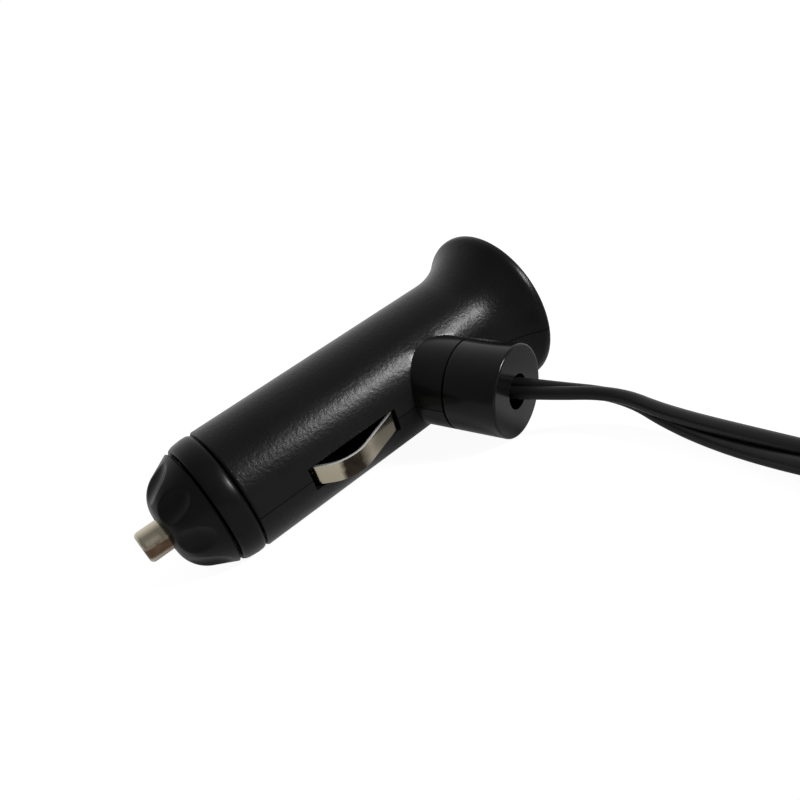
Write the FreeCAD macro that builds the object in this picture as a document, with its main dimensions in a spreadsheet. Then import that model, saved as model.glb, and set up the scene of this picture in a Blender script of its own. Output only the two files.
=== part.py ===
import FreeCAD, Part
import math
import os
import Sketcher
from FreeCAD import Placement, Rotation, Vector

# A 12 V lighter plug that lies on its side, with the lead that leaves its slanted boss.
# Plug frame: x runs back from the tip of the centre contact along the plug's axis, the boss
# leaves towards -y, and the two housing halves part on the plane z = 0.

doc = FreeCAD.newDocument("lighter_plug")
sheet = doc.addObject("Spreadsheet::Sheet", "Sizes")

# Driving dimensions in millimetres and degrees. A text that starts with = is worked out.
SIZES = [
    # Nose cap and centre contact
    ("tip_reach", "3.7"),
    ("tip_radius", "2.55"),
    ("tip_round", "0.7"),
    ("tip_clearance", "0.08"),
    ("tip_travel", "3"),
    ("flange_radius", "4.4"),
    ("flange_width", "2.2"),
    ("flange_play", "0.1"),
    ("fuse_seat", "1"),
    ("cap_length", "6.55"),
    ("cap_radius", "9.7"),
    ("cap_edge", "0.25"),
    ("cap_cone", "3.6"),
    ("cap_shoulder_radius", "7.95"),
    ("cap_face_radius", "3.5"),
    ("cap_front_wall", "1.4"),
    ("thread_radius", "6.95"),
    ("thread_length", "2.9"),
    ("thread_clearance", "0.08"),
    ("dimple_count", "8"),
    ("dimple_phase", "10"),
    ("dimple_tilt", "38.7"),
    ("dimple_station", "2.25"),
    ("dimple_offset", "7.48"),
    ("dimple_half_length", "3.6"),
    ("dimple_half_width", "2.33"),
    ("dimple_half_depth", "0.9"),
    # Collar, barrel, flare and rim
    ("groove_width", "0.3"),
    ("collar_width", "3.8"),
    ("collar_radius", "10.2"),
    ("collar_edge", "0.3"),
    ("neck_radius", "8.6"),
    ("neck_clearance", "0.05"),
    ("barrel_length", "46.9"),
    ("barrel_radius", "10.4"),
    ("barrel_edge", "0.3"),
    ("flare_root_radius", "10.7"),
    ("flare_length", "9.2"),
    ("rim_radius", "14.6"),
    ("rim_thickness", "1.9"),
    ("rim_edge", "0.6"),
    ("rim_roll", "1.05"),
    ("rim_roll_rise", "0.4"),
    ("parting_depth", "0.25"),
    ("parting_half_width", "0.08"),
    ("wall", "1.8"),
    ("bulkhead", "2.6"),
    ("rear_wall", "2"),
    # Boss and cord bush
    ("boss_station", "34.54"),
    ("boss_angle", "73.3"),
    ("boss_radius", "7.5"),
    ("boss_seam", "14"),
    ("boss_seam_gap", "0.2"),
    ("boss_spigot_radius", "5.3"),
    ("boss_spigot_length", "5.4"),
    ("boss_passage_radius", "3.6"),
    ("bush_length", "9.05"),
    ("bush_edge", "0.4"),
    ("bush_lip", "0.25"),
    ("bush_hole_radius", "2.83"),
    ("bush_clearance", "0.06"),
    # Fuse, spring and terminal
    ("fuse_length", "30"),
    ("fuse_radius", "3.15"),
    ("fuse_cap_length", "6"),
    ("fuse_cap_wall", "0.3"),
    ("fuse_glass_wall", "0.55"),
    ("fuse_glass_clearance", "0.03"),
    ("fuse_wire_radius", "0.15"),
    ("fuse_clearance", "0.35"),
    ("spring_length", "9.4"),
    ("spring_radius", "2.3"),
    ("spring_wire_radius", "0.35"),
    ("spring_turns", "5"),
    ("spring_play", "0.05"),
    ("terminal_thickness", "0.8"),
    ("terminal_half_width", "4.4"),
    ("terminal_half_height", "4"),
    ("terminal_clearance", "0.1"),
    ("tab_length", "4.2"),
    ("tab_half_width", "2"),
    ("rib_thickness", "1.5"),
    ("rib_half_width", "5.2"),
    ("rib_root", "0.7"),
    ("front_rib_station", "10"),
    ("rear_rib_station", "18"),
    # Side contacts
    ("slot_station", "9.46"),
    ("slot_length", "16.76"),
    ("slot_half_width", "2.1"),
    ("leaf_half_width", "1.7"),
    ("leaf_thickness", "0.5"),
    ("leaf_front_gap", "0.85"),
    ("leaf_end_gap", "0.35"),
    ("leaf_foot", "3.4"),
    ("leaf_seat_gap", "0.25"),
    ("leaf_front_lift", "9.75"),
    ("leaf_rear_lift", "9.95"),
    ("leaf_apex_offset", "13.94"),
    ("leaf_apex_station", "5.5"),
    ("leaf_apex_bend", "5.8"),
    ("leaf_foot_bend", "0.6"),
    # Leads inside and the cord outside
    ("lead_radius", "0.6"),
    ("lead_spacing", "1.05"),
    ("lead_gap", "0.3"),
    ("lead_bend", "1.2"),
    ("lead_run", "3"),
    ("lead_knee", "7.75"),
    ("link_reach", "2.2"),
    ("link_half_span", "3.25"),
    ("link_height", "4.9"),
    ("cord_radius", "2"),
    ("cord_inner_end", "15.5"),
    ("cord_tail_inside", "5.5"),
    # Coil of the lead, as put away, with its tie
    ("coil_inner_radius", "17"),
    ("coil_outer_radius", "25"),
    ("coil_height", "8.1"),
    ("coil_edge", "1.9"),
    ("tie_thickness", "0.7"),
    ("tie_half_width", "2.5"),
    ("tie_clearance", "0.25"),
    # In-line socket on the far end of the cord
    ("socket_bore_radius", "10.9"),
    ("socket_sleeve_wall", "0.5"),
    ("socket_sleeve_length", "26"),
    ("socket_sleeve_lip", "1"),
    ("socket_clearance", "0.05"),
    ("socket_wall", "2.05"),
    ("socket_length", "36"),
    ("socket_edge", "0.8"),
    ("socket_nose_radius", "8"),
    ("socket_nose_length", "3.5"),
    ("disc_thickness", "2"),
    ("contact_radius", "3"),
    ("contact_height", "1.2"),
    ("contact_stem_radius", "1.2"),
    ("relief_length", "10"),
    ("relief_radius", "5"),
    ("relief_tip_radius", "3.1"),
    ("relief_head_radius", "6.4"),
    ("relief_head_width", "2"),
    ("relief_clearance", "0.04"),
    # Stations along the plug's axis, from the tip of the contact
    ("cap_rear", "=tip_reach + cap_length"),
    ("flange_front", "=tip_reach + cap_front_wall + flange_play"),
    ("flange_rear", "=flange_front + flange_width"),
    ("fuse_front", "=flange_rear - fuse_seat"),
    ("fuse_rear", "=fuse_front + fuse_length"),
    ("collar_front", "=cap_rear + groove_width"),
    ("collar_rear", "=collar_front + collar_width"),
    ("barrel_front", "=collar_rear + groove_width"),
    ("flare_front", "=barrel_front + barrel_length"),
    ("rim_front", "=flare_front + flare_length"),
    ("rear_face", "=rim_front + rim_thickness"),
    ("cavity_radius", "=barrel_radius - wall"),
    ("cavity_front", "=barrel_front + bulkhead"),
    ("cavity_rear", "=rear_face - rear_wall"),
    ("flange_bore_radius", "=flange_radius + tip_clearance"),
    ("flange_bore_rear", "=flange_rear + tip_travel + flange_play"),
    ("fuse_bore_radius", "=fuse_radius + fuse_clearance"),
    ("spring_front", "=fuse_rear + spring_play"),
    ("terminal_front", "=spring_front + spring_length + spring_play"),
    ("terminal_rear", "=terminal_front + terminal_thickness"),
    ("link_knee", "=terminal_rear + rib_thickness + lead_gap"),
    ("link_station", "=link_knee + link_reach"),
    ("boss_cross", "=barrel_front + boss_station"),
    ("slot_front", "=barrel_front + slot_station"),
    ("slot_rear", "=slot_front + slot_length"),
    # Stations along the boss, from the plug's axis
    ("rim_roll_radius", "=(rim_roll * rim_roll + rim_roll_rise * rim_roll_rise) / (2 * rim_roll_rise)"),
    ("bush_front", "=boss_seam + boss_seam_gap"),
    ("bush_rear", "=bush_front + bush_length"),
    ("spigot_end", "=boss_seam + boss_spigot_length"),
    ("bush_recess_end", "=spigot_end + boss_seam_gap"),
    # Stations along the in-line socket, from its mouth
    ("socket_outer_radius", "=socket_bore_radius + socket_sleeve_wall + socket_clearance + socket_wall"),
    ("socket_liner_radius", "=socket_bore_radius + socket_sleeve_wall + socket_clearance"),
    ("sleeve_rear", "=socket_sleeve_lip + socket_sleeve_length"),
    ("disc_front", "=sleeve_rear + contact_height + socket_clearance"),
    ("disc_rear", "=disc_front + disc_thickness"),
    ("relief_head_front", "=disc_rear + contact_height + socket_clearance"),
    ("relief_head_rear", "=relief_head_front + relief_head_width"),
    ("socket_rear", "=socket_length + socket_nose_length"),
    ("relief_end", "=socket_rear + relief_length"),
]

# Hand-chosen routes over the floor, in millimetres from the part's origin: the lead from the bush
# to its coil, and the tail from the coil to the in-line socket
LEAD_ROUTE = [
    (21.45, -20.7, 6.65),
    (26.4, -30.0, 4.3),
    (24.25, -40.15, 2.05),
    (20.7, -56.0, 2.05),
    (19.0, -73.0, 2.05),
    (17.6, -88.5, 2.3),
    (16.95, -103.5, 2.9),
]
TAIL_ROUTE = [
    (16.94, -106.6, 6.95),
    (16.4, -118.2, 5.4),
    (22.4, -128.2, 3.4),
    (32.8, -134.0, 2.2),
    (44.7, -134.0, 2.05),
    (55.1, -128.0, 4.0),
    (61.1, -117.6, 8.6),
    (61.1, -105.8, 13.5),
]
COIL_CENTRE = (-6.0, -105.0)
RELIEF_TIP = (61.1, -100.5)

# Share of the shorter run beside a corner that the lead's bend takes up
BEND_SHARE = 0.45


def fill_sheet():
    for row, (alias, text) in enumerate(SIZES, start=1):
        sheet.set(f"A{row}", alias)
        sheet.set(f"B{row}", text)
        sheet.setAlias(f"B{row}", alias)
    doc.recompute()


def size(alias):
    return float(sheet.get(alias))


def value_of(total):
    """Number of a sum such as "cap_rear + groove_width"."""
    amount = 0.0
    sign = 1.0
    for word in total.split():
        if word in ("+", "-"):
            sign = 1.0 if word == "+" else -1.0
        else:
            amount += sign * (size(word) if word[0].isalpha() else float(word))
    return amount


def bound(total):
    """The same sum as an expression on the sheet."""
    return " ".join(f"Sizes.{word}" if word[0].isalpha() else word for word in total.split())


def origin_part(body, role):
    return next(part for part in body.Origin.OriginFeatures if part.Role == role)


def arc_middle(start, end, heading):
    """Middle of the arc from start to end that sets off along heading."""
    chord = end - start
    across = Vector(-heading.y, heading.x, 0)
    radius = chord.dot(chord) / (2 * chord.dot(across))
    centre = start + across * radius
    outward = (start + end) * 0.5 - centre
    return centre + outward.normalize() * abs(radius)


def draw_outline(sketch, corners):
    """Closed outline. A corner is (x, y, edge), with the edge that arrives there: a line, a bend
    (an arc tangent to the edge before it) or a blend (an arc tangent to the edge after it)."""
    points = [Vector(value_of(x), value_of(y), 0) for x, y, _ in corners]
    count = len(points)
    kinds = [corners[(k + 1) % count][2] for k in range(count)]
    for k, kind in enumerate(kinds):
        start, end = points[k], points[(k + 1) % count]
        if kind == "line":
            sketch.addGeometry(Part.LineSegment(start, end))
        elif kind == "bend":
            heading = (start - points[k - 1]).normalize()
            sketch.addGeometry(Part.Arc(start, arc_middle(start, end, heading), end))
        else:
            heading = (end - points[(k + 2) % count]).normalize()
            sketch.addGeometry(Part.Arc(start, arc_middle(end, start, heading), end))
    starts = []
    for k in range(count):
        first = sketch.getPoint(k, 1)
        starts.append(1 if (first - points[k]).Length < (first - points[(k + 1) % count]).Length else 2)
    for k in range(count):
        after = (k + 1) % count
        smooth = kinds[k] == "blend" or kinds[after] == "bend"
        name = "Tangent" if smooth else "Coincident"
        sketch.addConstraint(Sketcher.Constraint(name, k, 3 - starts[k], after, starts[after]))
    for k, (x, y, _) in enumerate(corners):
        pin_point(sketch, k, starts[k], "DistanceX", x, -2)
        pin_point(sketch, k, starts[k], "DistanceY", y, -1)


def pin_point(sketch, edge, end, direction, total, axis):
    """Hold one end of an edge at a size from an axis, or on the axis."""
    if total == "0":
        sketch.addConstraint(Sketcher.Constraint("PointOnObject", edge, end, axis))
        return
    constraint = Sketcher.Constraint(direction, -1, 1, edge, end, value_of(total))
    index = sketch.addConstraint(constraint)
    sketch.setExpression(f"Constraints[{index}]", bound(total))


def new_sketch(body, label, plane):
    sketch = body.newObject("Sketcher::SketchObject", label)
    sketch.AttachmentSupport = (origin_part(body, plane), [""])
    sketch.MapMode = "FlatFace"
    return sketch


def turned(label, corners):
    """A body turned about its own x axis."""
    body = doc.addObject("PartDesign::Body", label)
    sketch = new_sketch(body, f"{label}_section", "XY_Plane")
    draw_outline(sketch, corners)
    spin = body.newObject("PartDesign::Revolution", f"{label}_turned")
    spin.Profile = sketch
    spin.ReferenceAxis = (origin_part(body, "X_Axis"), [""])
    spin.Angle = 360
    body.Tip = spin
    return body


def block(label, start, length, half_width, half_height):
    """A box from a station along the axis, centred on the axis."""
    box = doc.addObject("Part::Box", label)
    box.setExpression("Length", bound(length))
    box.setExpression("Width", f"2 * ({bound(half_width)})")
    box.setExpression("Height", f"2 * ({bound(half_height)})")
    box.setExpression("Placement.Base.x", bound(start))
    box.setExpression("Placement.Base.y", f"-({bound(half_width)})")
    box.setExpression("Placement.Base.z", f"-({bound(half_height)})")
    return box


def bore(label, start, length, radius):
    """A cylinder along the plug's axis."""
    rod = doc.addObject("Part::Cylinder", label)
    rod.setExpression("Radius", bound(radius))
    rod.setExpression("Height", bound(length))
    rod.Placement = Placement(Vector(0, 0, 0), Rotation(Vector(0, 1, 0), 90))
    rod.setExpression("Placement.Base.x", bound(start))
    return rod


def joined(label, pieces):
    fuse = doc.addObject("Part::MultiFuse", label)
    fuse.Shapes = pieces
    return fuse


def cut(label, base, tool):
    result = doc.addObject("Part::Cut", label)
    result.Base = base
    result.Tool = tool
    return result


def common(label, base, tool):
    result = doc.addObject("Part::Common", label)
    result.Base = base
    result.Tool = tool
    return result


def boss_frame():
    """Place of the boss: its x axis leaves the plug's axis at the boss angle."""
    return Placement(Vector(size("boss_cross"), 0, 0), Rotation(Vector(0, 0, 1), -size("boss_angle")))


def boss_point(station, height=0.0):
    return boss_frame().multVec(Vector(station, 0, height))


def bent_path(points, radii):
    """Straight runs joined by tangent arcs, one radius for each inner point."""
    edges = []
    here = points[0]
    for before, corner, after, radius in zip(points, points[1:], points[2:], radii):
        inward = (before - corner).normalize()
        outward = (after - corner).normalize()
        half_turn = (math.pi - inward.getAngle(outward)) / 2
        reach = radius * math.tan(half_turn)
        start = corner + inward * reach
        end = corner + outward * reach
        to_centre = (inward + outward).normalize()
        middle = corner + to_centre * (radius / math.cos(half_turn) - radius)
        edges.append(Part.LineSegment(here, start).toShape())
        edges.append(Part.Arc(start, middle, end).toShape())
        here = end
    edges.append(Part.LineSegment(here, points[-1]).toShape())
    return Part.Wire(edges)


def swept(section, path):
    return path.makePipeShell([section], True, False)


def round_section(path, radius):
    first = path.OrderedEdges[0]
    start = first.valueAt(first.FirstParameter)
    return Part.Wire(Part.makeCircle(radius, start, first.tangentAt(first.FirstParameter)))


def feature(label, shape):
    made = doc.addObject("Part::Feature", label)
    made.Shape = shape
    return made


def wire_lead(label, points, bend):
    path = bent_path(points, [bend] * (len(points) - 2))
    return feature(label, swept(round_section(path, size("lead_radius")), path))


def make_nose_cap():
    """Domed screw cap, threaded on the housing's spigot, with finger dimples round its slope."""
    bore_depth = "cap_rear - thread_length - groove_width - flange_play"
    cap = turned("nose_cap", [
        ("cap_rear - cap_edge", "cap_radius", "line"),
        ("tip_reach + cap_length - cap_cone", "cap_shoulder_radius", "line"),
        ("tip_reach", "cap_face_radius", "bend"),
        ("tip_reach", "tip_radius + tip_clearance", "line"),
        ("tip_reach + cap_front_wall", "tip_radius + tip_clearance", "line"),
        ("tip_reach + cap_front_wall", "flange_radius + thread_clearance + tip_clearance", "line"),
        (bore_depth, "flange_radius + thread_clearance + tip_clearance", "line"),
        (bore_depth, "thread_radius + thread_clearance", "line"),
        ("cap_rear", "thread_radius + thread_clearance", "line"),
        ("cap_rear", "cap_radius - cap_edge", "line"),
    ])
    dimple = cap.newObject("PartDesign::SubtractiveEllipsoid", "dimple")
    dimple.AttachmentSupport = (origin_part(cap, "XY_Plane"), [""])
    dimple.MapMode = "FlatFace"
    dimple.setExpression("Radius1", bound("dimple_half_width"))
    dimple.setExpression("Radius2", bound("dimple_half_length"))
    dimple.setExpression("Radius3", bound("dimple_half_depth"))
    place = Vector(value_of("tip_reach + dimple_station"), size("dimple_offset"), 0)
    dimple.AttachmentOffset = Placement(place, Rotation(Vector(0, 0, 1), size("dimple_tilt")))
    doc.recompute()
    ring = cap.newObject("PartDesign::PolarPattern", "dimple_ring")
    ring.Originals = [dimple]
    ring.Axis = (origin_part(cap, "X_Axis"), [""])
    ring.Angle = 360
    ring.setExpression("Occurrences", bound("dimple_count"))
    cap.Tip = ring
    return cap


def make_front_collar():
    """Plain ring that holds the two halves together at their neck."""
    return turned("front_collar", [
        ("collar_front", "neck_radius + neck_clearance", "line"),
        ("collar_rear", "neck_radius + neck_clearance", "line"),
        ("collar_rear", "collar_radius - collar_edge", "line"),
        ("collar_rear - collar_edge", "collar_radius", "blend"),
        ("collar_front + collar_edge", "collar_radius", "line"),
        ("collar_front", "collar_radius - collar_edge", "bend"),
    ])


def make_centre_contact():
    """Sprung tip with the flange that the nose cap holds back and a seat for the fuse."""
    return turned("centre_contact", [
        ("0", "0", "line"),
        ("fuse_front", "0", "line"),
        ("fuse_front", "fuse_radius + fuse_glass_clearance", "line"),
        ("flange_rear", "fuse_radius + fuse_glass_clearance", "line"),
        ("flange_rear", "flange_radius", "line"),
        ("flange_front", "flange_radius", "line"),
        ("flange_front", "tip_radius", "line"),
        ("tip_round", "tip_radius", "line"),
        ("0", "tip_radius - tip_round", "bend"),
    ])


def make_fuse():
    """Glass fuse: tube, two end caps and the wire between them."""
    inner = "fuse_radius - fuse_cap_wall"
    glass = turned("fuse_glass", [
        ("fuse_front + fuse_cap_wall", f"{inner} - fuse_glass_clearance - fuse_glass_wall", "line"),
        ("fuse_rear - fuse_cap_wall", f"{inner} - fuse_glass_clearance - fuse_glass_wall", "line"),
        ("fuse_rear - fuse_cap_wall", f"{inner} - fuse_glass_clearance", "line"),
        ("fuse_front + fuse_cap_wall", f"{inner} - fuse_glass_clearance", "line"),
    ])
    front = turned("fuse_cap_front", [
        ("fuse_front", "0", "line"),
        ("fuse_front + fuse_cap_wall", "0", "line"),
        ("fuse_front + fuse_cap_wall", inner, "line"),
        ("fuse_front + fuse_cap_length", inner, "line"),
        ("fuse_front + fuse_cap_length", "fuse_radius", "line"),
        ("fuse_front", "fuse_radius", "line"),
    ])
    rear = turned("fuse_cap_rear", [
        ("fuse_rear - fuse_cap_length", inner, "line"),
        ("fuse_rear - fuse_cap_wall", inner, "line"),
        ("fuse_rear - fuse_cap_wall", "0", "line"),
        ("fuse_rear", "0", "line"),
        ("fuse_rear", "fuse_radius", "line"),
        ("fuse_rear - fuse_cap_length", "fuse_radius", "line"),
    ])
    wire = turned("fuse_wire", [
        ("fuse_front + fuse_cap_wall", "0", "line"),
        ("fuse_rear - fuse_cap_wall", "0", "line"),
        ("fuse_rear - fuse_cap_wall", "fuse_wire_radius", "line"),
        ("fuse_front + fuse_cap_wall", "fuse_wire_radius", "line"),
    ])
    return [glass, front, rear, wire]


def make_contact_spring():
    """Coil spring between the fuse and the terminal."""
    rise = size("spring_length") - 2 * size("spring_wire_radius")
    helix = Part.makeHelix(rise / size("spring_turns"), rise, size("spring_radius"))
    helix.Placement = Placement(Vector(0, 0, 0), Rotation(Vector(0, 1, 0), 90))
    first = helix.Edges[0]
    start = first.valueAt(first.FirstParameter)
    ring = Part.makeCircle(size("spring_wire_radius"), start, first.tangentAt(first.FirstParameter))
    coil = Part.Wire(helix.Edges).makePipeShell([Part.Wire(ring)], True, True)
    coil.translate(Vector(size("spring_front") + size("spring_wire_radius"), 0, 0))
    return feature("contact_spring", coil)


def make_rear_terminal():
    """Brass plate behind the spring, with a solder tab."""
    plate = block("terminal_plate", "terminal_front", "terminal_thickness",
                  "terminal_half_width", "terminal_half_height")
    tab = block("terminal_tab", "terminal_rear", "tab_length", "tab_half_width", "terminal_thickness")
    tab.setExpression("Height", bound("terminal_thickness"))
    tab.setExpression("Placement.Base.z", f"-({bound('terminal_thickness')}) / 2")
    return joined("rear_terminal", [plate, tab])


def make_parting_line():
    """Shallow groove all round the outside where the two halves meet."""
    core = turned("parting_core", [
        ("barrel_front", "0", "line"),
        ("rear_face - parting_depth", "0", "line"),
        ("rear_face - parting_depth", "rim_radius - rim_edge", "line"),
        ("rear_face - rim_edge", "rim_radius - parting_depth", "line"),
        ("rim_front + rim_roll", "rim_radius - parting_depth", "line"),
        ("rim_front + parting_depth", "rim_radius - rim_roll_rise - parting_depth", "line"),
        ("flare_front", "flare_root_radius - parting_depth", "blend"),
        ("barrel_front", "barrel_radius - parting_depth", "line"),
    ])
    boss = turned("parting_boss", [
        ("0", "0", "line"),
        ("spigot_end + wall", "0", "line"),
        ("spigot_end + wall", "boss_radius - parting_depth", "line"),
        ("0", "boss_radius - parting_depth", "line"),
    ])
    boss.Placement = boss_frame()
    plate = block("parting_plate", "barrel_front", "rear_face - barrel_front",
                  "rear_face", "parting_half_width")
    return cut("parting_line", plate, joined("parting_inside", [core, boss]))


def make_housing():
    """Barrel with flared rim, neck, thread spigot and boss, hollowed, then parted in two halves."""
    core = turned("housing_core", [
        ("cap_rear - thread_length", "0", "line"),
        ("rear_face", "0", "line"),
        ("rear_face", "rim_radius - rim_edge", "line"),
        ("rear_face - rim_edge", "rim_radius", "blend"),
        ("rim_front + rim_roll", "rim_radius", "line"),
        ("rim_front", "rim_radius - rim_roll_rise", "bend"),
        ("flare_front", "flare_root_radius", "blend"),
        ("barrel_front + barrel_edge", "barrel_radius", "line"),
        ("barrel_front", "barrel_radius - barrel_edge", "line"),
        ("barrel_front", "neck_radius", "line"),
        ("collar_front", "neck_radius", "line"),
        ("collar_front", "thread_radius", "line"),
        ("cap_rear - thread_length", "thread_radius", "line"),
    ])
    boss = turned("boss_root", [
        ("0", "0", "line"),
        ("spigot_end", "0", "line"),
        ("spigot_end", "boss_spigot_radius", "line"),
        ("boss_seam", "boss_spigot_radius", "line"),
        ("boss_seam", "boss_radius", "line"),
        ("0", "boss_radius", "line"),
    ])
    boss.Placement = boss_frame()
    hollow = turned("housing_hollow", [
        ("0", "0", "line"),
        ("cavity_rear", "0", "line"),
        ("cavity_rear", "cavity_radius", "line"),
        ("cavity_front", "cavity_radius", "line"),
        ("cavity_front", "fuse_bore_radius", "line"),
        ("flange_bore_rear", "fuse_bore_radius", "line"),
        ("flange_bore_rear", "flange_bore_radius", "line"),
        ("0", "flange_bore_radius", "line"),
    ])
    passage = turned("cord_passage", [
        ("0", "0", "line"),
        ("spigot_end + wall", "0", "line"),
        ("spigot_end + wall", "boss_passage_radius", "line"),
        ("0", "boss_passage_radius", "line"),
    ])
    passage.Placement = boss_frame()
    slots = block("contact_slots", "slot_front", "slot_length", "rim_radius", "slot_half_width")
    solid = joined("housing_solid", [core, boss])
    shell = cut("housing_shell", solid, joined("housing_spaces", [hollow, passage, slots]))
    rib_plates = joined("rib_plates", [
        block("front_rib", "cavity_front + front_rib_station", "rib_thickness",
              "rib_half_width", "barrel_radius"),
        block("rear_rib", "cavity_front + rear_rib_station", "rib_thickness",
              "rib_half_width", "barrel_radius"),
        block("terminal_rib", "terminal_front - rib_thickness",
              "rib_thickness + terminal_thickness + rib_thickness",
              "rib_half_width", "barrel_radius"),
    ])
    rib_room = bore("rib_room", "cavity_front", "cavity_rear - cavity_front", "cavity_radius + rib_root")
    ribs = common("ribs", rib_plates, rib_room)
    fuse_way = bore("fuse_way", "cavity_front", "terminal_front - cavity_front", "fuse_bore_radius")
    plate_way = block("plate_way", "terminal_front - terminal_clearance",
                      "terminal_thickness + terminal_clearance + terminal_clearance",
                      "terminal_half_width + terminal_clearance", "terminal_half_height + terminal_clearance")
    tab_way = block("tab_way", "terminal_front", "tab_length", "tab_half_width + terminal_clearance",
                    "terminal_thickness + terminal_clearance")
    cradles = cut("cradles", ribs, joined("cradle_ways", [fuse_way, plate_way, tab_way]))
    housing = cut("housing", joined("housing_walls", [shell, cradles]), make_parting_line())
    upper_room = block("upper_room", "0", "rear_face", "rear_face", "rim_radius")
    upper_room.setExpression("Placement.Base.z", "0")
    return [common("housing_upper", housing, upper_room), cut("housing_lower", housing, upper_room)]


def make_cord_bush():
    """One-piece end of the boss. Its recess grips the halves' spigot and its hole lets the lead out."""
    bush = turned("cord_bush", [
        ("bush_front", "boss_spigot_radius + bush_clearance", "line"),
        ("bush_recess_end", "boss_spigot_radius + bush_clearance", "line"),
        ("bush_recess_end", "bush_hole_radius", "line"),
        ("bush_rear", "bush_hole_radius", "line"),
        ("bush_rear", "boss_radius - bush_edge", "line"),
        ("bush_rear - bush_edge", "boss_radius", "blend"),
        ("bush_front + bush_lip", "boss_radius", "line"),
        ("bush_front", "boss_radius - bush_lip", "bend"),
    ])
    bush.Placement = boss_frame()
    return bush


def leaf_foot_offset():
    """Distance from the axis to the middle of a leaf's feet, under the barrel's inner wall."""
    wall_there = math.sqrt(size("cavity_radius") ** 2 - size("leaf_half_width") ** 2)
    return wall_there - size("leaf_seat_gap") - size("leaf_thickness") / 2


def leaf_rear_end():
    return size("slot_rear") - size("leaf_end_gap") - size("leaf_thickness") / 2 + size("leaf_foot")


def make_side_contact(label, side):
    """Sprung leaf that stands out of its slot on one side, its feet under the slot's ends."""
    front = size("slot_front") + size("leaf_front_gap") + size("leaf_thickness") / 2
    rear = size("slot_rear") - size("leaf_end_gap") - size("leaf_thickness") / 2
    foot = leaf_foot_offset()
    outline = [
        (front - size("leaf_foot"), foot),
        (front, foot),
        (front, size("leaf_front_lift")),
        (size("slot_front") + size("leaf_apex_station"), size("leaf_apex_offset")),
        (rear, size("leaf_rear_lift")),
        (rear, foot),
        (leaf_rear_end(), foot),
    ]
    points = [Vector(x, side * y, 0) for x, y in outline]
    bend = size("leaf_foot_bend")
    path = bent_path(points, [bend, bend, size("leaf_apex_bend"), bend, bend])
    half_thickness = size("leaf_thickness") / 2
    half_width = size("leaf_half_width")
    corners = [Vector(points[0].x, points[0].y + dy, dz) for dy, dz in (
        (-half_thickness, -half_width), (half_thickness, -half_width),
        (half_thickness, half_width), (-half_thickness, half_width))]
    return feature(label, swept(Part.makePolygon(corners + corners[:1]), path))


def make_inner_leads():
    """Live lead to the terminal, earth lead to the near leaf and the link to the far leaf."""
    spacing = size("lead_spacing")
    bend = size("lead_bend")
    inner = size("cord_inner_end")
    knee = size("lead_knee")
    tab_top = size("terminal_thickness") / 2 + value_of("lead_radius + terminal_clearance")
    tab_end = value_of("terminal_rear + tab_length - lead_bend")
    live = wire_lead("live_lead", [
        boss_point(inner, spacing),
        boss_point(knee, spacing),
        Vector(tab_end, -size("tab_half_width"), tab_top),
        Vector(tab_end, 0, tab_top),
    ], bend)
    leaf_end = leaf_rear_end() + size("lead_gap")
    depth = leaf_foot_offset() - size("lead_radius") / 2
    earth = wire_lead("earth_lead", [
        boss_point(inner, -spacing),
        boss_point(knee, -spacing),
        Vector(leaf_end + size("lead_run"), -depth, -spacing),
        Vector(leaf_end, -depth, -spacing),
    ], bend)
    link_points = []
    for side in (-1, 1):
        half = [
            Vector(leaf_end, side * depth, spacing),
            Vector(size("link_knee"), side * depth, spacing),
            Vector(size("link_station"), side * size("link_half_span"), size("link_height")),
        ]
        link_points += half if side < 0 else half[::-1]
    link = wire_lead("link_wire", link_points, bend)
    return [live, earth, link]


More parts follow.
